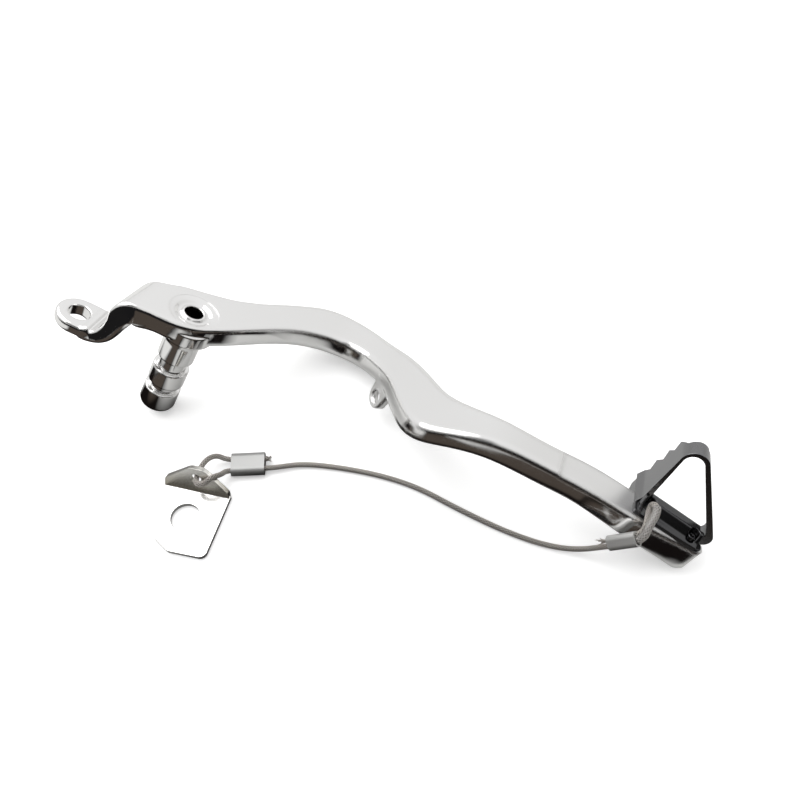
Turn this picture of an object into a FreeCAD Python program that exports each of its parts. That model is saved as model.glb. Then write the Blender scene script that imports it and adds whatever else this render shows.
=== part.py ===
import FreeCAD, Part
import math
import os
import Sketcher

os.makedirs("parts", exist_ok=True)

V = FreeCAD.Vector
doc = FreeCAD.newDocument("brake_pedal")

# Driving sizes in millimetres
sizes = {
    "arm_thickness": 9.5,
    "arm_offset": 35.6,
    "arm_length": 197.0,
    "offset_start": 43.5,
    "offset_radius": 42.0,
    "offset_angle": 34.0,
    "step_depth": 0.6,
    "step_start": 137.7,
    "tab_level": -19.0,
    "tab_thickness": 5.0,
    "tab_radius": 8.0,
    "tab_hole_x": -34.4,
    "tab_hole_y": -13.8,
    "tab_hole_dia": 8.0,
    "tab_outer_round": 1.3,
    "tab_inner_round": 1.8,
    "outer_round": 1.6,
    "inner_round": 2.8,
    "end_inner_round": 1.4,
    "end_thickness": 12.3,
    "end_round": 4.5,
    "tube_dia": 13.94,
    "tube_length": 49.0,
    "groove_dia": 11.0,
    "bore_dia": 7.0,
    "bore_mouth": 10.4,
    "face_dia": 18.6,
    "grease_dia": 1.8,
    "lug_thickness": 3.0,
    "lug_radius": 4.7,
    "lug_hole_dia": 5.5,
    "eye_hole_dia": 4.6,
    "eye_hole_x": 171.4,
    "eye_hole_y": 4.0,
    "tip_plane": 6.1,
    "tip_width": 17.0,
    "tip_sheet": 2.0,
    "tip_height": 22.1,
    "base_height": 5.8,
    "screw_dia": 3.2,
    "bracket_width": 25.8,
    "bracket_depth": 25.4,
    "bracket_sheet": 2.0,
    "bracket_hole_dia": 11.0,
    "bracket_tab": 12.2,
    "bracket_lean": 66.0,
    "bracket_eye_dia": 4.4,
    "cable_dia": 1.8,
    "ferrule_length": 12.7,
    "ferrule_width": 9.4,
    "ferrule_height": 4.5,
    "ferrule_pitch": 4.4,
    "ferrule_bore_dia": 2.4,
    "sleeve_height": 3.5,
    "sleeve_length": 11.8,
    "sleeve_pitch": 2.0,
}
sheet = doc.addObject("Spreadsheet::Sheet", "dims")
for row, (alias, value) in enumerate(sizes.items(), start=1):
    sheet.set(f"A{row}", alias)
    sheet.set(f"B{row}", str(value))
    sheet.setAlias(f"B{row}", alias)
doc.recompute()


def val(alias):
    return float(sheet.get(alias))


def new_body(label):
    body = doc.addObject("PartDesign::Body", label)
    body.Label = label
    return body


def plane_of(body, role):
    return [f for f in body.Origin.OriginFeatures if f.Role == role][0]


def new_sketch(body, name, role, shapes, offset=None):
    sk = body.newObject("Sketcher::SketchObject", name)
    sk.AttachmentSupport = [(plane_of(body, role), "")]
    sk.MapMode = "FlatFace"
    if offset is not None:
        sk.AttachmentOffset = offset
    for shape in shapes:
        sk.addGeometry(shape, False)
    sk.Visibility = False
    return sk


def pad(body, name, sk, length, both=False, back=False, driven=None):
    feat = body.newObject("PartDesign::Pad", name)
    feat.Profile = sk
    feat.Length = length
    if both:
        feat.SideType = "Symmetric"
    feat.Reversed = back
    if driven:
        feat.setExpression("Length", driven)
    doc.recompute()
    return feat


def pocket(body, name, sk, length=None, both=False, back=False, driven=None):
    before = body.Shape.Volume
    feat = body.newObject("PartDesign::Pocket", name)
    feat.Profile = sk
    if length is None:
        feat.Type = "ThroughAll"
    else:
        feat.Length = length
    if both:
        feat.SideType = "Symmetric"
    feat.Reversed = back
    if driven:
        feat.setExpression("Length", driven)
    doc.recompute()
    print(name, "removes", round(before - body.Shape.Volume, 1))
    return feat


def fillet(body, name, edges, driven):
    names = []
    for i, e in enumerate(body.Tip.Shape.Edges, start=1):
        if edges(e):
            names.append(f"Edge{i}")
    feat = body.newObject("PartDesign::Fillet", name)
    feat.Base = (feat.BaseFeature or body.Tip, names)
    feat.setExpression("Radius", driven)
    doc.recompute()
    print(name, len(names), "edges", feat.State)
    return feat


def closed(points):
    ring = []
    for a, b in zip(points, points[1:] + points[:1]):
        ring.append(Part.LineSegment(V(a[0], a[1], 0), V(b[0], b[1], 0)))
    return ring


def circle(x, y, radius):
    return Part.Circle(V(x, y, 0), V(0, 0, 1), radius)


def rounded(points):
    """Closed outline of (x, y, radius) corners joined by tangent arcs."""
    out = []
    ends = []
    n = len(points)
    for i in range(n):
        a = V(points[i - 1][0], points[i - 1][1], 0)
        b = V(points[i][0], points[i][1], 0)
        c = V(points[(i + 1) % n][0], points[(i + 1) % n][1], 0)
        r = points[i][2]
        if r <= 0:
            ends.append((b, b, None))
            continue
        u = (a - b).normalize()
        w = (c - b).normalize()
        half = math.acos(max(-1, min(1, u.dot(w)))) / 2
        cut = r / math.tan(half)
        mid = b + (u + w).normalize() * (r / math.sin(half) - r)
        ends.append((b + u * cut, b + w * cut, mid))
    for i in range(n):
        start, stop, mid = ends[i]
        if mid is not None:
            out.append(Part.Arc(start, mid, stop))
        following = ends[(i + 1) % n][0]
        if (following - stop).Length > 1e-6:
            out.append(Part.LineSegment(stop, following))
    return out


# Pedal frame: x from the pivot towards the tip, z along the pivot axis, outer face at z = 0
thick = val("arm_thickness")
rise = val("arm_offset")
bend = math.radians(val("offset_angle"))
bend_r = val("offset_radius")
x_bend = val("offset_start")
top = rise + val("step_depth")
sweep = bend_r * math.sin(bend)
lift = bend_r * (1 - math.cos(bend))
x_top = x_bend + 2 * sweep + (top - 2 * lift) / math.tan(bend)
end_x = val("arm_length")
low = top - val("end_thickness") + 0.1
tab_z = val("tab_level")
tab_t = val("tab_thickness")
hole_x = val("tab_hole_x")
hole_y = val("tab_hole_y")
tab_r = val("tab_radius")


def outer_z(x):
    """Height of the arm's outer face: two arcs joined by a straight run."""
    if x <= x_bend:
        return 0.0
    if x >= x_top:
        return top
    if x < x_bend + sweep:
        return bend_r - math.sqrt(bend_r**2 - (x - x_bend) ** 2)
    if x > x_top - sweep:
        return top - bend_r + math.sqrt(bend_r**2 - (x_top - x) ** 2)
    return lift + (x - x_bend - sweep) * math.tan(bend)


# Pushrod tab: flat rounded end on its own level
arm = new_body("pedal_arm")
lean = math.radians(14)
along = V(math.cos(lean), math.sin(lean), 0)
aside = V(-math.sin(lean), math.cos(lean), 0)
centre = V(hole_x, hole_y, 0)
tab_near = centre - aside * tab_r
tab_far = centre + aside * tab_r
neck_near = V(-29.0, -20.7, 0)
neck_far = V(-31.0, -4.7, 0)
tab_sketch = new_sketch(arm, "tab_outline", "XY_Plane", [
    Part.Arc(tab_near, centre - along * tab_r, tab_far),
    Part.LineSegment(tab_far, neck_far),
    Part.LineSegment(neck_far, neck_near),
    Part.LineSegment(neck_near, tab_near),
], FreeCAD.Placement(V(0, 0, tab_z - tab_t), FreeCAD.Rotation()))
pad(arm, "tab_plate", tab_sketch, 5, driven="dims.tab_thickness")


def tab_rim(e, level):
    p = e.valueAt((e.FirstParameter + e.LastParameter) / 2)
    return abs(p.z - level) < 1e-3 and abs(p.x + 30.0) > 0.4


fillet(arm, "tab_outer_round", lambda e: tab_rim(e, tab_z), "dims.tab_outer_round")
fillet(arm, "tab_inner_round", lambda e: tab_rim(e, tab_z - tab_t), "dims.tab_inner_round")

# Arm: near and far points of the outer face at each station, and the way to the inner face
# where that isn't straight inwards
stations = [
    ((-29.5, -20.8, -19.0), (-31.5, -4.85, -19.0), (0.0, -5.0)),
    ((-26.4, -20.0, -18.8), (-28.0, -3.9, -18.8), (1.4, -5.2)),
    ((-24.0, -19.1, -16.4), (-25.0, -1.8, -16.4), (4.6, -3.9)),
    ((-22.5, -18.2, -10.5), (-23.3, 0.8, -10.5), (6.7, -2.4)),
    ((-21.9, -17.5, -4.8), (-22.4, 3.4, -5.0), (7.9, -3.4)),
    ((-19.4, -16.7, -1.4), (-19.5, 4.3, -1.7), (5.8, -6.5)),
    ((-14.8, -15.4, -0.1), (-15.0, 6.0, -0.2), (2.0, -9.2)),
    ((-8.6, -13.4), (-11.0, 9.4)),
    ((-2.0, -11.5), (-4.6, 13.4)),
    ((4.5, -8.3), (1.2, 17.0)),
    ((10.2, -2.8), (6.0, 20.3)),
    ((15.2, 3.6), (10.2, 24.1)),
    ((21.6, 12.6), (15.2, 29.4)),
    ((29.3, 22.8), (21.8, 37.6)),
    ((36.0, 29.6), (28.6, 45.3)),
    ((42.5, 34.2), (36.3, 52.0)),
    ((49.0, 36.9), (46.3, 55.6)),
    ((54.5, 37.0), (56.0, 54.0)),
    ((60.2, 34.4), (65.5, 47.6)),
    ((66.0, 28.8), (74.2, 39.6)),
    ((71.4, 21.4), (81.0, 31.6)),
    ((76.6, 11.1), (87.0, 23.0)),
    ((81.3, 1.6), (92.2, 15.4)),
    ((85.7, -5.4), (96.4, 10.9)),
    ((91.6, -10.2), (101.0, 7.6)),
    ((100.0, -11.8), (106.6, 5.3)),
    ((111.4, -11.2), (114.0, 4.2)),
    ((123.0, -9.4), (123.5, 4.6)),
    ((135.0, -7.0), (135.0, 6.8)),
    ((148.2, -4.4), (148.0, 10.0)),
    ((162.0, -2.9), (162.0, 11.4), (0.0, -9.7)),
    ((176.0, -1.4), (176.0, 11.6), (0.0, -10.8)),
    ((187.0, 0.8), (187.0, 11.5), (0.0, -11.9)),
    ((200.0, 2.7), (200.0, 11.4), (0.0, -val("end_thickness"))),
]
outer_r = val("outer_round")
inner_r = val("inner_round")
sections = []
for i, (near, far, *inward) in enumerate(stations):
    inner = V(inward[0][0], 0, inward[0][1]) if inward else V(0, 0, -thick)
    radii = (outer_r, outer_r, inner_r, inner_r)
    if len(near) == 3:
        near, far = V(*near), V(*far)
        radii = (val("tab_outer_round"), val("tab_outer_round"), val("tab_inner_round"), val("tab_inner_round"))
    else:
        near, far = V(*near, outer_z(near[0])), V(*far, outer_z(far[0]))
    if inward and near.x > 0:
        radii = (outer_r, outer_r, val("end_inner_round"), val("end_inner_round"))
    across = (far - near).normalize()
    normal = across.cross(inner).normalize()
    down = normal.cross(across)
    width = (far - near).Length
    slip, depth = inner.dot(across), inner.dot(down)
    turn = FreeCAD.Rotation(across, down, normal, "XYZ")
    shape = rounded([
        (0, 0, radii[0]), (width, 0, radii[1]), (width + slip, depth, radii[2]), (slip, depth, radii[3]),
    ])
    sections.append(new_sketch(arm, f"station_{i}", "XY_Plane", shape, FreeCAD.Placement(near, turn)))
doc.recompute()
blank = arm.newObject("PartDesign::AdditiveLoft", "arm_blank")
blank.Profile = sections[0]
blank.Sections = sections[1:]
doc.recompute()
print("arm blank", round(arm.Shape.Volume, 1), blank.State)

# Rounded corners of the arm's end in plan
round_r = val("end_round")
corner = math.sqrt(0.5) * round_r
nose = new_sketch(arm, "end_outline", "XY_Plane", rounded([
    (184, -20, 0), (184, 0.1, 0), (end_x, 2.1, 2.4), (end_x, 11.4, 6.5), (184, 11.7, 0), (184, 40, 0), (210, 40, 0), (210, -20, 0),
]), FreeCAD.Placement(V(0, 0, low), FreeCAD.Rotation()))
pocket(arm, "end_outline_cut", nose, both=True)

# Lower corner of the arm's end, rounded in side view
end_cut = new_sketch(arm, "end_corner", "XZ_Plane", [
    Part.LineSegment(V(end_x - round_r - 1, low - 0.2, 0), V(end_x - round_r - 1, low - 3, 0)),
    Part.LineSegment(V(end_x - round_r - 1, low - 3, 0), V(end_x + 3, low - 3, 0)),
    Part.LineSegment(V(end_x + 3, low - 3, 0), V(end_x + 3, low + round_r + 1, 0)),
    Part.LineSegment(V(end_x + 3, low + round_r + 1, 0), V(end_x + 0.2, low + round_r + 1, 0)),
    Part.Arc(V(end_x + 0.2, low + round_r + 1, 0), V(end_x - round_r + corner, low + round_r - corner, 0),
             V(end_x - round_r - 1, low - 0.2, 0)),
])
pocket(arm, "end_corner_cut", end_cut, both=True)

# Machined pad for the tip, with an arched shoulder
x_step = val("step_start")
pad_sketch = new_sketch(arm, "tip_pad", "XY_Plane", [
    Part.Arc(V(x_step - 1.4, -30, 0), V(x_step + 0.5, 1, 0), V(x_step - 1.4, 32, 0)),
    Part.LineSegment(V(x_step - 1.4, 32, 0), V(end_x + 5, 32, 0)),
    Part.LineSegment(V(end_x + 5, 32, 0), V(end_x + 5, -30, 0)),
    Part.LineSegment(V(end_x + 5, -30, 0), V(x_step - 1.4, -30, 0)),
], FreeCAD.Placement(V(0, 0, rise), FreeCAD.Rotation()))
pocket(arm, "tip_pad_cut", pad_sketch, 5, back=True)

# Scallop milled into the near flank beside the tip
scallop = new_sketch(arm, "flank_scallop", "XY_Plane", [circle(160.4, -31.2, 29.0)],
                     FreeCAD.Placement(V(0, 0, rise - 2.0), FreeCAD.Rotation()))
pocket(arm, "flank_scallop_cut", scallop, 5.6)

# Pivot tube with two grooves and a flared root
tube_r = val("tube_dia") / 2
groove_r = val("groove_dia") / 2
tube_l = -val("tube_length")
tube = new_sketch(arm, "tube_profile", "XZ_Plane", closed([
    (0, -4), (tube_r + 3.4, -4), (tube_r + 3.4, -thick), (tube_r + 1.2, -thick - 0.9),
    (tube_r + 0.3, -thick - 2.2), (tube_r, -thick - 4.2), (tube_r, tube_l + 26.5), (tube_r - 0.6, tube_l + 25.9),
    (groove_r, tube_l + 25.9), (groove_r, tube_l + 20.9), (tube_r - 0.5, tube_l + 20.9), (tube_r, tube_l + 20.4),
    (tube_r, tube_l + 13.2), (tube_r - 0.5, tube_l + 12.7), (groove_r, tube_l + 12.7), (groove_r, tube_l + 9.4),
    (tube_r - 0.4, tube_l + 9.4), (tube_r, tube_l + 9.0), (tube_r, tube_l + 1.4), (tube_r - 0.4, tube_l + 0.4),
    (tube_r - 1.4, tube_l), (0, tube_l),
]))
pin = arm.newObject("PartDesign::Revolution", "pivot_tube")
pin.Profile = tube
pin.ReferenceAxis = (tube, ["V_Axis"])
pin.Angle = 360
doc.recompute()

# Spring lug under the near edge
lug_r = val("lug_radius")
lug_place = FreeCAD.Placement(V(73.2, -2.0, -22.6), FreeCAD.Rotation(V(0, 1, 0), -48))
lug = new_sketch(arm, "lug_outline", "XZ_Plane", [
    Part.Arc(V(-lug_r, 0, 0), V(0, -lug_r, 0), V(lug_r, 0, 0)),
    Part.LineSegment(V(lug_r, 0, 0), V(lug_r + 1.2, 7, 0)),
    Part.LineSegment(V(lug_r + 1.2, 7, 0), V(-lug_r - 1.2, 7, 0)),
    Part.LineSegment(V(-lug_r - 1.2, 7, 0), V(-lug_r, 0, 0)),
], lug_place)
pad(arm, "spring_lug", lug, 3, both=True, driven="dims.lug_thickness")
lug_hole = new_sketch(arm, "lug_hole", "XZ_Plane", [circle(0, 0, val("lug_hole_dia") / 2)], lug_place)
pocket(arm, "lug_hole_cut", lug_hole, 12, both=True)

# Pivot bore: shallow spot face with a ring groove round the through bore
face_r = val("face_dia") / 2
mouth_r = val("bore_mouth") / 2
hole_r = val("bore_dia") / 2
mouth = new_sketch(arm, "bore_profile", "XZ_Plane", closed([
    (0, 2), (face_r + 0.3, 2), (face_r, -0.15), (face_r - 2.2, -0.5), (mouth_r + 0.5, -1.3), (mouth_r - 0.5, -1.2),
    (mouth_r - 1.1, -0.35), (hole_r + 0.1, -0.3), (hole_r, -0.5), (hole_r, tube_l - 2), (0, tube_l - 2),
]))
before = arm.Shape.Volume
bore = arm.newObject("PartDesign::Groove", "pivot_bore")
bore.Profile = mouth
bore.ReferenceAxis = (mouth, ["V_Axis"])
bore.Angle = 360
doc.recompute()
print("pivot_bore removes", round(before - arm.Shape.Volume, 1))

tab_hole = new_sketch(arm, "tab_hole", "XY_Plane", [circle(hole_x, hole_y, val("tab_hole_dia") / 2)],
                      FreeCAD.Placement(V(0, 0, tab_z - tab_t / 2), FreeCAD.Rotation()))
pocket(arm, "tab_hole_cut", tab_hole, 12, both=True)
grease = new_sketch(arm, "grease_hole", "XZ_Plane", [circle(0, tube_l + 3.1, val("grease_dia") / 2)],
                    FreeCAD.Placement(V(0, 0, 0), FreeCAD.Rotation(V(0, 1, 0), 68)))
pocket(arm, "grease_hole_cut", grease, 9)

# Folded tip: sheet loop with a toothed far edge, standing on the pad
plane_y = val("tip_plane")
tip_z = rise
base_h = val("base_height")
apex_z = tip_z + base_h + val("tip_height")
far_y = plane_y + val("tip_width")
tip = new_body("tip_loop")
loop_points = [
    (167.6, tip_z, 0), (168.6, tip_z + 3.4, 4.0), (166.9, apex_z + 10.8, 5.0), (199.2, tip_z + 3.2, 3.6), (194.6, tip_z, 0),
    (191.8, tip_z, 0), (194.6, tip_z + 5.0, 2.4), (167.5, apex_z + 7.9, 3.7), (170.6, tip_z + 4.4, 4.0), (170.2, tip_z, 0),
]
loop = new_sketch(tip, "loop_profile", "XZ_Plane", rounded(loop_points),
                  FreeCAD.Placement(V(0, 0, -plane_y), FreeCAD.Rotation()))
pad(tip, "loop_sheet", loop, 16, back=True, driven="dims.tip_width")
skirt = new_sketch(tip, "skirt_profile", "XZ_Plane", closed([
    (168.7, tip_z + 4), (170.4, tip_z + 4), (170.6, tip_z - 6.2), (168.9, tip_z - 6.2),
]), FreeCAD.Placement(V(0, 0, -12.2), FreeCAD.Rotation()))
pad(tip, "skirt", skirt, far_y - 12.2, back=True)

# Far edge seen along x: skirt corner, four teeth up the rear limb, narrow apex
edge = [
    (20.6, tip_z - 6.4), (22.9, tip_z - 4.6), (22.6, tip_z + 3.3), (19.7, tip_z + 6.5), (21.4, tip_z + 10.3),
    (17.4, tip_z + 14.1), (19.3, tip_z + 17.5), (15.9, tip_z + 20.5), (17.0, tip_z + 24.1),
    (12.9, tip_z + 27.4), (13.4, tip_z + 29.4), (14.2, tip_z + 30.6), (14.2, tip_z + 36),
    (far_y + 8, tip_z + 36), (far_y + 8, tip_z - 12), (20.6, tip_z - 12),
]
edge_sketch = new_sketch(tip, "far_edge", "YZ_Plane", closed(edge), FreeCAD.Placement(V(0, 0, 160), FreeCAD.Rotation()))
pocket(tip, "far_edge_cut", edge_sketch, 100, both=True)
front = closed([(12.4, tip_z - 12), (12.4, tip_z + 36), (far_y + 8, tip_z + 36), (far_y + 8, tip_z - 12)])
front_sketch = new_sketch(tip, "front_edge", "YZ_Plane", front, FreeCAD.Placement(V(0, 0, 174.8), FreeCAD.Rotation()))
pocket(tip, "front_edge_cut", front_sketch, 40, back=True)

# Base: near bar with a sloped face and low foot, and the bar inside the loop
base = new_body("tip_base")
base_top = tip_z + base_h
eye_x = val("eye_hole_x")
eye_y = val("eye_hole_y")
near_bar = new_sketch(base, "near_bar_section", "YZ_Plane", rounded([
    (0.9, tip_z, 0), (0.9, tip_z + 1.6, 0.4), (2.4, tip_z + 2.2, 0.6), (4.3, base_top, 0.7), (5.8, base_top, 0), (5.8, tip_z, 0),
]), FreeCAD.Placement(V(0, 0, 168.6), FreeCAD.Rotation()))
pad(base, "near_bar", near_bar, 24.4)
inner_bar = new_sketch(base, "inner_bar_section", "YZ_Plane", rounded([
    (5.0, tip_z, 0), (5.0, base_top, 0), (8.4, base_top, 0.8), (10.8, tip_z + 3.6, 0.6), (10.8, tip_z, 0),
]), FreeCAD.Placement(V(0, 0, 171.0), FreeCAD.Rotation()))
pad(base, "inner_bar", inner_bar, 20.4)
foot = new_sketch(base, "foot_outline", "XY_Plane", rounded([
    (167.4, 0.1, 1.0), (193.0, 0.9, 0), (195.4, 1.6, 1.8), (195.4, 5.4, 1.6), (180.0, 5.6, 0), (167.4, 5.6, 1.0),
]), FreeCAD.Placement(V(0, 0, tip_z), FreeCAD.Rotation()))
pad(base, "foot", foot, 1.4)
base_hole = new_sketch(base, "base_eye_hole", "XY_Plane",
                       [circle(eye_x, eye_y, val("eye_hole_dia") / 2)],
                       FreeCAD.Placement(V(0, 0, tip_z), FreeCAD.Rotation()))
pocket(base, "base_eye_hole_cut", base_hole, 30, both=True)
notch = new_sketch(base, "eye_notch", "XZ_Plane", rounded([
    (eye_x - 1.4, tip_z + 0.2, 1.0), (eye_x + 1.4, tip_z + 0.2, 1.0),
    (eye_x + 1.4, tip_z + 3.1, 1.0), (eye_x - 1.4, tip_z + 3.1, 1.0),
]), FreeCAD.Placement(V(0, 0, 2), FreeCAD.Rotation()))
pocket(base, "eye_notch_cut", notch, 2 + eye_y)
screw_x = 189.8
screw_y = 3.6
screw_r = val("screw_dia") / 2
screw_hole = new_sketch(base, "screw_hole", "XY_Plane", [circle(screw_x, screw_y, screw_r + 0.3)],
                        FreeCAD.Placement(V(0, 0, tip_z), FreeCAD.Rotation()))
pocket(base, "screw_hole_cut", screw_hole, 30, both=True)

# Screw that holds the base to the pad
screw = new_body("tip_screw")
head = new_sketch(screw, "head_outline", "XY_Plane", [circle(screw_x, screw_y, screw_r)],
                  FreeCAD.Placement(V(0, 0, tip_z), FreeCAD.Rotation()))
pad(screw, "head", head, 3.6)
hexagon = [(screw_x + 0.8 * math.cos(math.radians(a)), screw_y + 0.8 * math.sin(math.radians(a))) for a in range(0, 360, 60)]
socket = new_sketch(screw, "socket_outline", "XY_Plane", closed(hexagon),
                    FreeCAD.Placement(V(0, 0, tip_z + 3.6), FreeCAD.Rotation()))
pocket(screw, "socket_cut", socket, 1.2)

# Bracket: flat plate with one folded tab
brk_w = val("bracket_width")
brk_d = val("bracket_depth")
brk_t = val("bracket_sheet")
bracket = new_body("bracket")
plate = new_sketch(bracket, "plate_outline", "XY_Plane", rounded([
    (0, 0, 0), (0, -13.6, 3.0), (3.4, -21.6, 5.0), (10.8, -brk_d - 0.4, 3.0), (brk_w - 1.0, -brk_d, 2.6), (brk_w, 0, 0),
]))
pad(bracket, "plate", plate, 2, driven="dims.bracket_sheet")
fold = math.radians(val("bracket_lean"))
rise_y = math.cos(fold)
fold_place = FreeCAD.Placement(V(0, 0, 0), FreeCAD.Rotation(V(1, 0, 0), val("bracket_lean")))
fold_tab = new_sketch(bracket, "tab_outline", "XY_Plane", rounded([
    (0.0, 0.0, 0), (brk_w, 0.0, 0), (brk_w - 0.6, 3.6, 1.6), (brk_w / 2 + 3.0, val("bracket_tab"), 4.6),
    (brk_w / 2 - 2.6, val("bracket_tab"), 4.6), (0.3, 5.2, 1.6),
]), fold_place)
pad(bracket, "folded_tab", fold_tab, 2, driven="dims.bracket_sheet")
plate_hole = new_sketch(bracket, "plate_hole", "XY_Plane", [circle(12.4, -12.0, val("bracket_hole_dia") / 2)])
pocket(bracket, "plate_hole_cut", plate_hole, 10, both=True)
tab_eye = new_sketch(bracket, "tab_eye", "XY_Plane", [circle(12.6, 7.4, val("bracket_eye_dia") / 2)], fold_place)
pocket(bracket, "tab_eye_cut", tab_eye, 10, both=True)

# Swaged ferrules: an oval sleeve with two bores, and a smaller one with both strands in one slot
fer_l = val("ferrule_length")
fer_w = val("ferrule_width")
fer_h = val("ferrule_height")
bore_r = val("ferrule_bore_dia") / 2
bore_y = val("ferrule_pitch") / 2
slot_y = val("sleeve_pitch") / 2
slot_h = val("sleeve_height")


def oval(half_pitch, radius):
    return [
        Part.Arc(V(-half_pitch, radius, 0), V(-half_pitch - radius, 0, 0), V(-half_pitch, -radius, 0)),
        Part.LineSegment(V(-half_pitch, -radius, 0), V(half_pitch, -radius, 0)),
        Part.Arc(V(half_pitch, -radius, 0), V(half_pitch + radius, 0, 0), V(half_pitch, radius, 0)),
        Part.LineSegment(V(half_pitch, radius, 0), V(-half_pitch, radius, 0)),
    ]


ferrule_a = new_body("bracket_ferrule")
section_a = new_sketch(ferrule_a, "oval_section", "YZ_Plane",
                       oval((fer_w - fer_h) / 2, fer_h / 2) + [circle(-bore_y, 0, bore_r), circle(bore_y, 0, bore_r)])
pad(ferrule_a, "oval_sleeve", section_a, 12, both=True, driven="dims.ferrule_length")
ferrule_b = new_body("pedal_ferrule")
section_b = new_sketch(ferrule_b, "slot_section", "YZ_Plane", oval(slot_y, slot_h / 2) + oval(slot_y, bore_r))
pad(ferrule_b, "slot_sleeve", section_b, 12, both=True, driven="dims.sleeve_length")

# Resting pose: the pedal stands on the tube end, the arm's end and its low bend
x_axis = V(0.9362, -0.1474, -0.3190)
z_axis = V(0.3513, 0.3698, 0.8601)
y_axis = z_axis.cross(x_axis).normalize()
z_axis = x_axis.cross(y_axis).normalize()
rest = FreeCAD.Placement(V(17.13, 18.29, 45.42), FreeCAD.Rotation(x_axis, y_axis, z_axis, "XZY"))
along_a = V(math.cos(math.radians(23)), math.sin(math.radians(23)), 0)
aside_a = V(-along_a.y, along_a.x, 0)
centre_a = V(46.9, -13.3, fer_h / 2 + 0.05)
along_b = V(0.62, 0.02, 0.78).normalize()
aside_b = V(-0.55, 0.71, 0.44)
above_b = along_b.cross(aside_b).normalize()
aside_b = above_b.cross(along_b)
centre_b = V(186.5, -2.1, 16.85)
places = {
    "pedal_arm": rest,
    "tip_loop": rest,
    "tip_base": rest,
    "tip_screw": rest,
    "bracket": FreeCAD.Placement(V(20.9, -30.7, 0), FreeCAD.Rotation(V(0, 0, 1), 6.7)),
    "bracket_ferrule": FreeCAD.Placement(centre_a, FreeCAD.Rotation(V(0, 0, 1), 23)),
    "pedal_ferrule": FreeCAD.Placement(centre_b, FreeCAD.Rotation(along_b, aside_b, above_b, "XYZ")),
}
pedal_group = [arm, tip, base, screw]
solids = pedal_group + [bracket, ferrule_a, ferrule_b]
for obj in solids:
    obj.Placement = places[obj.Label]
doc.recompute()

# Cable: eye through the bracket, run over the floor, eye through the base of the tip
cable_r = val("cable_dia") / 2
lie = cable_r + 0.05
strand_a = aside_a * bore_y
strand_b = aside_b * slot_y
route = [
    centre_a + strand_a - along_a * 3.4,
    centre_a + strand_a - along_a * 8.0,
    V(34.3, -14.8, 4.6),
    V(32.3, -20.3, 7.4),
    V(33.4, -29.8, 7.6),
    V(37.6, -29.5, 8.8),
    V(39.8, -26.8, 11.4),
    V(41.4, -22.9, 7.6),
    centre_a - strand_a - along_a * 8.2,
    centre_a - strand_a + along_a * 8.6,
    V(66.0, -5.9, lie),
    V(83.0, -1.7, lie),
    V(98.5, 0.1, lie),
    V(112.3, -0.6, lie),
    V(127.0, -3.8, lie),
    V(143.0, -6.5, lie),
    V(155.0, -7.6, lie),
    V(165.0, -7.0, 1.4),
    V(173.8, -5.0, 3.2),
    centre_b - strand_b - along_b * 9.4,
    centre_b - strand_b + along_b * 7.6,
    rest.multVec(V(172.8, -5.2, 38.6)),
    rest.multVec(V(173.2, -1.4, 41.6)),
    rest.multVec(V(172.6, 2.4, 41.9)),
    rest.multVec(V(171.6, 3.9, 40.2)),
    rest.multVec(V(171.4, 4.0, 37.4)),
    rest.multVec(V(171.4, -2.9, 36.9)),
    centre_b + strand_b + along_b * 8.2,
    centre_b + strand_b + along_b * 3.4,
]


def tube_path(points):
    """Straight runs joined by tangent arcs; each radius follows from the shorter run."""
    edges = []
    radii = []
    start = points[0]
    for a, b, c in zip(points, points[1:], points[2:]):
        u = (a - b).normalize()
        w = (c - b).normalize()
        half = (math.pi - u.getAngle(w)) / 2
        cut = 0.45 * min((a - b).Length, (c - b).Length)
        radius = cut / math.tan(half)
        mid = b + (u + w).normalize() * (radius / math.cos(half) - radius)
        edges.append(Part.LineSegment(start, b + u * cut).toShape())
        edges.append(Part.Arc(b + u * cut, mid, b + w * cut).toShape())
        start = b + w * cut
        radii.append(round(radius, 1))
    edges.append(Part.LineSegment(start, points[-1]).toShape())
    print("cable radii", radii, "runs", [round((b - a).Length, 1) for a, b in zip(points, points[1:])])
    return Part.Wire(edges)


spine = tube_path(route)
disc = Part.Wire(Part.Circle(route[0], route[1] - route[0], cable_r).toShape())
cable = doc.addObject("Part::Feature", "safety_cable")
cable.Shape = spine.makePipeShell([disc], True, True)
cable.Label = "safety_cable"
print("cable length", round(spine.Length, 1), "volume ratio",
      round(cable.Shape.Volume / (math.pi * cable_r**2 * spine.Length), 4))

# Final frame: origin under the middle of the pedal, floor at z = 0
box = FreeCAD.BoundBox()
for obj in pedal_group:
    box.add(obj.Shape.optimalBoundingBox(False, False))
shift = V(-(box.XMin + box.XMax) / 2, -(box.YMin + box.YMax) / 2, 0)
print("shift", shift, "pedal box", box)
for obj in solids + [cable]:
    obj.Placement = FreeCAD.Placement(shift, FreeCAD.Rotation()).multiply(obj.Placement)
doc.recompute()

# Checks and export
for obj in doc.Objects:
    if "Invalid" in obj.State or "Error" in obj.State:
        raise SystemExit("bad object " + obj.Name)
for obj in solids + [cable]:
    if obj.Shape.isNull() or not obj.Shape.isValid():
        raise SystemExit("bad shape " + obj.Label)
    box = obj.Shape.BoundBox
    print(obj.Label, "volume", round(obj.Shape.Volume, 1), "solids", len(obj.Shape.Solids),
          "z", round(box.ZMin, 2), round(box.ZMax, 2), "x", round(box.XMin, 1), round(box.XMax, 1),
          "y", round(box.YMin, 1), round(box.YMax, 1))
    obj.Shape.exportStep("parts/" + obj.Label + ".step")
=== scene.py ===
import math

import bpy
from mathutils import Matrix, Vector


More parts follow.
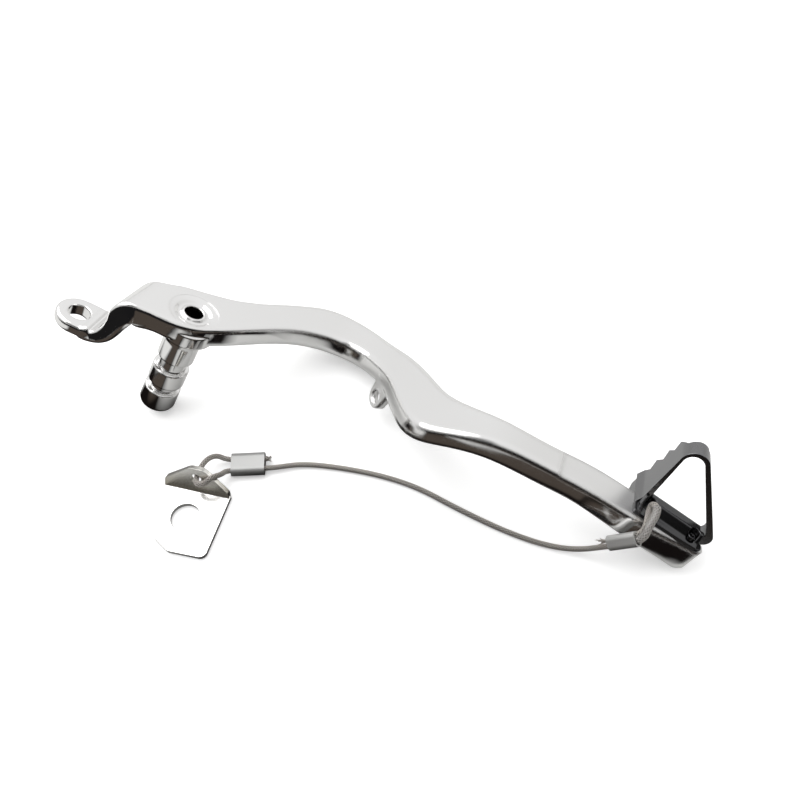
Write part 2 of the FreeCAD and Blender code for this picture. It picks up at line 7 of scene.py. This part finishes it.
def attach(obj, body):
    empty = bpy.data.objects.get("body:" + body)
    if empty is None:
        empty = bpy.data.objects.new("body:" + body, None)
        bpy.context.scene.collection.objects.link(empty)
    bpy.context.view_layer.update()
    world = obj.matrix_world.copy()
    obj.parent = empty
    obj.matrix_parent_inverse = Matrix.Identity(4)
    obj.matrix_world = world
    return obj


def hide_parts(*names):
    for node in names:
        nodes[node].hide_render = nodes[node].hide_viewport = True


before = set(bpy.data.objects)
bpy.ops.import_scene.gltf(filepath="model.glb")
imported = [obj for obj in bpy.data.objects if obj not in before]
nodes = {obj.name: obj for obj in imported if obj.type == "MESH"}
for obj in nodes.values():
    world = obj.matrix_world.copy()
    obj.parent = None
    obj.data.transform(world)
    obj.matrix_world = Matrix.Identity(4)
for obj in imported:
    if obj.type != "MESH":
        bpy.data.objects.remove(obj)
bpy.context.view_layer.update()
bpy.ops.object.select_all(action="DESELECT")
MM = 0.001

# The pivot in millimetres, and the pedal's own directions: along the arm and up from its top face
PIVOT = Vector((-75.6201, -9.8414, 45.42))
ALONG = Vector((0.93622, -0.14740, -0.31901))
UPWARD = Vector((0.35131, 0.36981, 0.86013))

EDGE_SAMPLES = 8


class Tree:
    """The shader nodes of a material or of the surroundings."""

    def __init__(self, tree):
        self.tree = tree

    def node(self, kind, **props):
        made = self.tree.nodes.new(kind)
        for key, value in props.items():
            setattr(made, key, value)
        return made

    def link(self, source, socket):
        self.tree.links.new(source, socket)

    def math(self, op, a, b=0.0):
        made = self.node("ShaderNodeMath", operation=op)
        for i, value in enumerate((a, b)):
            if isinstance(value, (int, float)):
                made.inputs[i].default_value = value
            else:
                self.link(value, made.inputs[i])
        return made.outputs[0]

    def between(self, source, low, high, start, end):
        """A value that goes from low to high while the source goes from start to end."""
        made = self.node("ShaderNodeMapRange")
        made.inputs["From Min"].default_value = start
        made.inputs["From Max"].default_value = end
        made.inputs["To Min"].default_value = low
        made.inputs["To Max"].default_value = high
        self.link(source, made.inputs["Value"])
        return made.outputs["Result"]

    def ramp(self, source, stops):
        """A colour blended between stops, each a place from 0 to 1 and its colour."""
        made = self.node("ShaderNodeValToRGB")
        elements = made.color_ramp.elements
        for element, (place, color) in zip(elements, (stops[0], stops[-1])):
            element.position = place
            element.color = (*color, 1)
        for place, color in stops[1:-1]:
            elements.new(place).color = (*color, 1)
        self.link(source, made.inputs["Fac"])
        return made.outputs["Color"]


class Mat(Tree):
    """A material with one principled shader."""

    def __init__(self, name, color, metallic, roughness, **sockets):
        self.mat = bpy.data.materials.new(name)
        self.mat.use_nodes = True
        super().__init__(self.mat.node_tree)
        self.bsdf = self.tree.nodes["Principled BSDF"]
        self.set("Base Color", (*color, 1.0))
        self.set("Metallic", metallic)
        self.set("Roughness", roughness)
        for key, value in sockets.items():
            self.set(key.replace("_", " "), value)
        self.coord = self.node("ShaderNodeTexCoord").outputs["Object"]

    def set(self, socket, value):
        self.bsdf.inputs[socket].default_value = value

    def drive(self, socket, source):
        self.link(source, self.bsdf.inputs[socket])

    def noise(self, scale, detail):
        made = self.node("ShaderNodeTexNoise")
        made.inputs["Scale"].default_value = scale
        made.inputs["Detail"].default_value = detail
        self.link(self.coord, made.inputs["Vector"])
        return made.outputs["Fac"]

    def rounded(self, radius):
        """Shade the edges as rounds of this radius in millimetres."""
        made = self.node("ShaderNodeBevel", samples=EDGE_SAMPLES)
        if isinstance(radius, (int, float)):
            made.inputs["Radius"].default_value = radius * MM
        else:
            self.link(self.math("MULTIPLY", radius, MM), made.inputs["Radius"])
        self.drive("Normal", made.outputs["Normal"])

    def position(self):
        """The place on the surface, split into X, Y and Z."""
        made = self.node("ShaderNodeSeparateXYZ")
        self.link(self.coord, made.inputs[0])
        return made.outputs

    def measured(self, axis):
        """Distance in millimetres from the pivot along one of the pedal's own directions."""
        off = self.node("ShaderNodeVectorMath", operation="SUBTRACT")
        self.link(self.coord, off.inputs[0])
        off.inputs[1].default_value = PIVOT * MM
        dot = self.node("ShaderNodeVectorMath", operation="DOT_PRODUCT")
        self.link(off.outputs["Vector"], dot.inputs[0])
        dot.inputs[1].default_value = axis / MM
        return dot.outputs["Value"]


def give(obj, mat):
    obj.data.materials.clear()
    obj.data.materials.append(mat.mat)


# Polished arm: its edges look rounder beyond the pivot, and the platform's top is satin
polish = Mat("polished_arm", (0.845, 0.84, 0.835), metallic=1.0, roughness=0.05)
polish.rounded(polish.between(polish.measured(ALONG), low=1.1, high=3.2, start=8.0, end=30.0))
gloss = polish.between(polish.noise(scale=90, detail=4), low=0.035, high=0.075, start=0.35, end=0.65)
past_step = polish.between(polish.measured(ALONG), low=0.0, high=1.0, start=137.2, end=137.8)
top_face = polish.between(polish.measured(UPWARD), low=0.0, high=1.0, start=35.3, end=35.5)
SATIN_ROUGHNESS = 0.30
satin = polish.math("MULTIPLY", polish.math("MULTIPLY", past_step, top_face), SATIN_ROUGHNESS)
polish.drive("Roughness", polish.math("ADD", gloss, satin))

# Black toe tip, its base and the screw
black = Mat("black_tip", (0.205, 0.205, 0.21), metallic=1.0, roughness=0.24)
black.rounded(0.45)
black_base = Mat("black_base", (0.085, 0.085, 0.088), metallic=1.0, roughness=0.18)
black_base.rounded(0.6)

# Pressed sleeves of one metal: the one behind the bracket is a darker copy, painted shade
dull = Mat("dull_sleeve", (0.60, 0.60, 0.59), metallic=0.6, roughness=0.42)
dull_painted_shade = Mat("dull_sleeve_painted_shade", (0.34, 0.34, 0.335), metallic=0.7, roughness=0.40)

# Bracket: bright sheet with a duller cut edge, and a folded tab with painted shade that is darkest at its
# foot.
# The tones go by the height above the floor in millimetres, from 0 to the span.
PLATE_BRIGHT = (0.88, 0.87, 0.85)
TONE_SPAN = 10.0
chrome = Mat("bright_bracket", PLATE_BRIGHT, metallic=1.0, roughness=0.26)
chrome.rounded(0.2)
height = chrome.position()["Z"]
chrome.drive("Metallic", chrome.between(height, low=0.15, high=1.0, start=1.93 * MM, end=1.99 * MM))
chrome.drive("Base Color", chrome.ramp(chrome.math("MULTIPLY", height, 1 / TONE_SPAN / MM), [
    (1.93 / TONE_SPAN, (0.40, 0.40, 0.39)),
    (1.99 / TONE_SPAN, PLATE_BRIGHT),
    (2.06 / TONE_SPAN, PLATE_BRIGHT),
    # Painted shade at the tab's foot, fading out up the tab
    (2.50 / TONE_SPAN, (0.42, 0.39, 0.32)),
    (1.0, (0.86, 0.85, 0.81)),
]))

# Wire rope, and a near-black core under its wires: painted shade in the gaps between them
rope = Mat("wire_rope", (0.47, 0.44, 0.41), metallic=0.65, roughness=0.45)
rope_gap_shade = Mat("rope_gap_shade", (0.02, 0.018, 0.016), metallic=0.3, roughness=0.6)

give(nodes["pedal_arm"], polish)
give(nodes["tip_loop"], black)
give(nodes["tip_base"], black_base)
give(nodes["tip_screw"], black_base)
give(nodes["bracket_ferrule"], dull_painted_shade)
give(nodes["pedal_ferrule"], dull)
give(nodes["bracket"], chrome)
give(nodes["safety_cable"], rope)

# Cable: the eye at the toe tip, the run over the floor, then the eye at the bracket, in millimetres
ROUTE = [
    (95.30, -29.45, 19.94), (98.60, -27.90, 22.30), (98.95, -24.40, 23.90), (99.15, -17.80, 21.90),
    (99.40, -16.69, 23.70), (100.71, -17.59, 25.44), (101.14, -21.27, 26.51), (99.67, -25.81, 25.57),
    (99.04, -30.79, 22.37), (88.46, -31.13, 9.07), (81.05, -32.40, 3.20), (72.25, -33.60, 1.40),
    (62.25, -33.90, 1.08), (50.25, -33.10, 1.08), (34.25, -30.80, 1.08), (19.55, -27.90, 1.08),
    (5.75, -27.60, 1.08), (-9.75, -29.50, 1.08), (-26.75, -33.30, 1.08), (-37.07, -40.10, 2.30),
    (-52.54, -46.66, 2.30), (-51.35, -51.03, 7.60), (-52.95, -54.93, 11.40), (-55.15, -57.63, 8.80),
    (-59.35, -57.93, 7.60), (-60.45, -48.43, 7.40), (-58.45, -42.93, 4.60), (-54.07, -42.53, 2.30),
    (-49.84, -40.73, 2.30),
]

# The rope in millimetres: its radius, those of its wires and core, and the length of a wire's turn
ROPE_R = 1.05
WIRE_R = 0.16 * ROPE_R
CORE_R = ROPE_R - 1.25 * WIRE_R
WIRES_EACH_WAY = 6
LAY = 7.5
CABLE_STEP = 0.45
CUT_END_STEP = 0.3


def line_points(points, step):
    """Points at an even step along the smooth line that the control points give."""
    curve = bpy.data.curves.new("line", "CURVE")
    curve.dimensions = "3D"
    curve.resolution_u = 24
    spline = curve.splines.new("NURBS")
    spline.points.add(len(points) - 1)
    for point, place in zip(spline.points, points):
        point.co = (*[c * MM for c in place], 1.0)
    spline.order_u = 3
    spline.use_endpoint_u = True
    obj = bpy.data.objects.new("line", curve)
    mesh = bpy.data.meshes.new_from_object(obj)
    found = [v.co.copy() / MM for v in mesh.vertices]
    bpy.data.objects.remove(obj)
    bpy.data.curves.remove(curve)
    bpy.data.meshes.remove(mesh)
    even = [found[0]]
    left = step
    for start, end in zip(found, found[1:]):
        run = (end - start).length
        done = 0.0
        while run - done >= left:
            done += left
            even.append(start.lerp(end, done / run))
            left = step
        left -= run - done
    return even


def tubes(name, lines, radius, roundness, mat):
    """One mesh of round tubes along the lines, all in millimetres."""
    curve = bpy.data.curves.new(name, "CURVE")
    curve.dimensions = "3D"
    curve.bevel_depth = radius * MM
    curve.bevel_resolution = roundness
    curve.use_fill_caps = True
    for points in lines:
        spline = curve.splines.new("POLY")
        spline.points.add(len(points) - 1)
        for point, place in zip(spline.points, points):
            point.co = (*[c * MM for c in place], 1.0)
    obj = bpy.data.objects.new(name, curve)
    bpy.context.collection.objects.link(obj)
    bpy.ops.object.select_all(action="DESELECT")
    obj.select_set(True)
    bpy.context.view_layer.objects.active = obj
    bpy.ops.object.convert(target="MESH")
    obj = bpy.context.object
    bpy.ops.object.shade_smooth()
    give(obj, mat)
    return obj


def helices(points, hand):
    """Helical lines round a path, on a frame carried along it without twist."""
    ring = ROPE_R - WIRE_R
    tangent = (points[1] - points[0]).normalized()
    side = tangent.cross(Vector((0.3, 0.2, 1.0))).normalized()
    lines = [[] for _ in range(WIRES_EACH_WAY)]
    travelled = 0.0
    for i, point in enumerate(points):
        ahead = points[min(i + 1, len(points) - 1)]
        behind = points[max(i - 1, 0)]
        tangent = (ahead - behind).normalized()
        side = (side - tangent * side.dot(tangent)).normalized()
        other = tangent.cross(side)
        travelled += (point - behind).length
        for k, line in enumerate(lines):
            angle = math.tau * (k / WIRES_EACH_WAY + hand * travelled / LAY)
            line.append(point + (side * math.cos(angle) + other * math.sin(angle)) * ring)
    return lines


def rope_piece(name, points):
    """Wire rope along a path: wires that cross in both directions over a near-black core, painted shade in
    the gaps between them.
    """
    piece = tubes(name, helices(points, 1) + helices(points, -1), WIRE_R, 1, rope)
    core = tubes(name + "_core", [points], CORE_R, 2, rope_gap_shade)
    bpy.ops.object.select_all(action="DESELECT")
    core.select_set(True)
    piece.select_set(True)
    bpy.context.view_layer.objects.active = piece
    bpy.ops.object.join()
    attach(piece, "root")
    return piece


path = line_points(ROUTE, CABLE_STEP)
cable = rope_piece("cable_strands", path)
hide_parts("safety_cable")


class Ferrule:
    """A pressed sleeve's middle, and its directions along the rope and across both strands."""

    def __init__(self, mid, along, side):
        self.mid = Vector(mid)
        self.along = Vector(along)
        self.side = Vector(side)

    def at(self, across, ahead):
        return self.mid + self.side * across + self.along * ahead


at_bracket = Ferrule((-45.85, -41.43, 2.30), (0.9205, 0.3907, 0), (-0.3907, 0.9205, 0))
at_tip = Ferrule((93.75, -30.23, 16.85), (0.6221, 0.0201, 0.7827), (-0.5603, 0.7097, 0.4271))

# The rope's two cut ends, each beyond its pressed sleeve
cut_a = rope_piece("cut_end_a", line_points([
    at_bracket.at(2.2, 3.6), at_bracket.at(2.2, 6.0), at_bracket.at(2.0, 7.7),
], CUT_END_STEP))
cut_b = rope_piece("cut_end_b", line_points([
    at_tip.at(1.0, -3.0), at_tip.at(1.0, -4.6), at_tip.at(1.0, -6.4),
], CUT_END_STEP))

FRAY_WIRES = 9
FRAY_WIRE_R = 0.2


def fray(name, start, along, side, length, spread):
    """Loose wires of three lengths that spread from a cut end of the cable."""
    other = along.cross(side)
    wires = []
    for k in range(FRAY_WIRES):
        uneven = k % 3
        turn = math.tau * k / FRAY_WIRES
        out = (side * math.cos(turn) + other * math.sin(turn)) * (0.35 + 0.25 * uneven)
        reach = length * (0.6 + 0.2 * uneven)
        bent = start + along * reach * 0.6 + out * 0.9 * spread
        tip = start + along * reach + out * 1.7 * spread + side * 0.25 * (k % 2)
        wires.append([start + out * 0.5, bent, tip])
    piece = tubes(name, wires, FRAY_WIRE_R, 1, rope)
    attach(piece, "root")
    return piece


fray_a = fray("frayed_end_a", at_bracket.at(2.0, 7.2), at_bracket.along, at_bracket.side, 1.6, 1.0)
fray_b = fray("frayed_end_b", at_tip.at(1.0, -6.0), -at_tip.along, at_tip.side, 4.6, 0.9)

# Clear sleeve round the outer strand of the toe tip's eye, from the hole to the pressed sleeve
CLEAR_SLEEVE_R = 1.45
TIP_EYE_SHARE = 0.25
near_hole = Vector((100.6, -18.6, 25.9))
near_ferrule = at_tip.at(-1.0, 6.0)
eye = path[:int(len(path) * TIP_EYE_SHARE)]
first = min(range(len(eye)), key=lambda i: (eye[i] - near_hole).length)
last = min(range(first, len(eye)), key=lambda i: (eye[i] - near_ferrule).length)
clear = Mat("clear_sleeve", (0.90, 0.90, 0.90), metallic=0.0, roughness=0.07,
            Transmission_Weight=0.9, IOR=1.42)
sleeve = tubes("clear_sleeve", [eye[first:last + 1]], CLEAR_SLEEVE_R, 4, clear)
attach(sleeve, "root")

# Floor: white to look at, but what the metal reflects of it is dark with pale bands
WHITE = (0.93, 0.93, 0.93)
PALE = (0.66, 0.66, 0.65)
BROWN = (0.060, 0.049, 0.041)
NEAR_BLACK = (0.005, 0.004, 0.004)
NEAR_BLACK_PLACE = 0.03
GLOW = 0.34
FLOOR_SIZE = 2.4
floor = Mat("floor", WHITE, metallic=0.0, roughness=0.9)
floor.set("Specular IOR Level", 0.0)
on_floor = floor.position()
ray = floor.node("ShaderNodeLightPath").outputs
seen = floor.math("MAXIMUM", ray["Is Camera Ray"], ray["Is Transmission Ray"])

# Pale behind a line near the arm, which lies further forward on the right and at the left
right_shift = floor.between(on_floor["X"], low=0.0, high=0.028, start=-0.03, end=0.12)
left_shift = floor.between(on_floor["X"], low=0.016, high=0.0, start=-0.038, end=-0.034)
edge_line = floor.math("ADD", on_floor["Y"], floor.math("ADD", right_shift, left_shift))
behind_arm = floor.between(edge_line, low=0.0, high=0.99, start=-0.013, end=-0.004)
far_left = floor.between(on_floor["X"], low=0.99, high=0.0, start=-0.20, end=-0.16)

# A narrow slanted stripe in front of the arm's right half
STRIPE_SLOPE = 1.15
STRIPE_OFFSET = 0.215
slanted = floor.math("SUBTRACT", on_floor["Y"], floor.math("MULTIPLY", on_floor["X"], STRIPE_SLOPE))
from_stripe = floor.math("ABSOLUTE", floor.math("ADD", slanted, STRIPE_OFFSET))
stripe = floor.between(from_stripe, low=0.85, high=0.0, start=0.003, end=0.007)
right_half = floor.between(on_floor["X"], low=0.0, high=1.0, start=-0.03, end=-0.01)
stripe = floor.math("MULTIPLY", stripe, right_half)

# A pale band in front of the pivot, and near black close to the object where nothing is pale
BAND_X = -0.066
from_band = floor.math("ABSOLUTE", floor.math("SUBTRACT", on_floor["X"], BAND_X))
band = floor.between(from_band, low=0.80, high=0.0, start=0.010, end=0.024)
band = floor.math("MULTIPLY", band, floor.between(on_floor["Y"], low=0.0, high=1.0, start=-0.15, end=-0.12))
close_by = floor.between(on_floor["Y"], low=0.0, high=NEAR_BLACK_PLACE, start=-0.075, end=-0.058)

tone = seen
for part in (behind_arm, far_left, stripe, band, close_by):
    tone = floor.math("MAXIMUM", tone, part)
floor.drive("Base Color", floor.ramp(tone, [
    (0.0, BROWN),
    (NEAR_BLACK_PLACE, NEAR_BLACK),
    (2 * NEAR_BLACK_PLACE, NEAR_BLACK),
    (0.999, PALE),
    (1.0, WHITE),
]))
floor.set("Emission Color", (1, 1, 1, 1))
floor.drive("Emission Strength", floor.between(seen, low=0.0, high=GLOW, start=0.0, end=1.0))
bpy.ops.mesh.primitive_plane_add(size=1)
ground = bpy.context.object
ground.name = "ground"
ground.scale = (FLOOR_SIZE, FLOOR_SIZE, 1)
ground.location = (0, 0.90, -0.0002)
bpy.ops.object.transform_apply(location=True, rotation=True, scale=True)
give(ground, floor)

# Surroundings: white above and behind, dark low in front, with a dark patch high in front
SKY_STRENGTH = 0.95
LEAN_X, LEAN_Y = -0.30, 0.55
PATCH_DIRECTION = (0.12, -0.52, 0.845)
world = bpy.context.scene.world or bpy.data.worlds.new("world")
bpy.context.scene.world = world
world.use_nodes = True
sky = Tree(world.node_tree)
sky.tree.nodes.clear()
direction = sky.node("ShaderNodeTexCoord").outputs["Generated"]
split = sky.node("ShaderNodeSeparateXYZ")
sky.link(direction, split.inputs[0])
lean = sky.math("ADD", sky.math("MULTIPLY", split.outputs["Y"], LEAN_Y), split.outputs["Z"])
lean = sky.math("ADD", lean, sky.math("MULTIPLY", split.outputs["X"], LEAN_X))
shade = sky.ramp(sky.math("ADD", sky.math("MULTIPLY", lean, 0.5), 0.5), [
    (0.0, (0.01, 0.01, 0.011)),
    (0.52, (0.015, 0.014, 0.014)),
    (0.60, (0.80, 0.80, 0.79)),
    (1.0, (1, 1, 1)),
])
near_patch = sky.node("ShaderNodeVectorMath", operation="DOT_PRODUCT")
sky.link(direction, near_patch.inputs[0])
near_patch.inputs[1].default_value = PATCH_DIRECTION
outside_patch = sky.between(near_patch.outputs["Value"], low=1.0, high=0.10, start=0.955, end=0.985)
dimmed = sky.node("ShaderNodeVectorMath", operation="SCALE")
sky.link(shade, dimmed.inputs[0])
sky.link(outside_patch, dimmed.inputs["Scale"])
back = sky.node("ShaderNodeBackground")
sky.link(dimmed.outputs["Vector"], back.inputs["Color"])
back.inputs["Strength"].default_value = SKY_STRENGTH
plain = sky.node("ShaderNodeBackground")
plain.inputs["Color"].default_value = (1, 1, 1, 1)
plain.inputs["Strength"].default_value = 1.0
ray = sky.node("ShaderNodeLightPath").outputs
choose = sky.node("ShaderNodeMixShader")
sky.link(sky.math("MAXIMUM", ray["Is Camera Ray"], ray["Is Transmission Ray"]), choose.inputs["Fac"])
sky.link(back.outputs["Background"], choose.inputs[1])
sky.link(plain.outputs["Background"], choose.inputs[2])
sky.link(choose.outputs["Shader"], sky.node("ShaderNodeOutputWorld").inputs["Surface"])

# One soft light above, to the left
LAMP_PLACE = Vector((-0.50, 0.18, 0.85))
light = bpy.data.lights.new("top", "AREA")
light.shape = "RECTANGLE"
light.size = 1.0
light.size_y = 1.0
light.energy = 7.5
lamp = bpy.data.objects.new("top", light)
bpy.context.collection.objects.link(lamp)
lamp.location = LAMP_PLACE
lamp.rotation_euler = (-LAMP_PLACE).to_track_quat("-Z", "Y").to_euler()

# Camera
CAMERA_PLACE = Vector((53.6999, -155.4814, 268.83)) * MM
camera = bpy.data.cameras.new("camera")
camera.sensor_width = 36
camera.lens = 35.1
camera.clip_start = 0.01
cam = bpy.data.objects.new("camera", camera)
bpy.context.collection.objects.link(cam)
forward = Vector((-0.1731, 0.5112, -0.8419)).normalized()
up = Vector((-0.2917, 0.7898, 0.5395))
up = (up - forward * up.dot(forward)).normalized()
right = forward.cross(up)
turn = Matrix((right, up, -forward)).transposed().to_4x4()
cam.matrix_world = Matrix.Translation(CAMERA_PLACE) @ turn
bpy.context.scene.camera = cam
bpy.context.scene.render.resolution_x = 800
bpy.context.scene.render.resolution_y = 800
bpy.context.scene.view_settings.view_transform = "Standard"
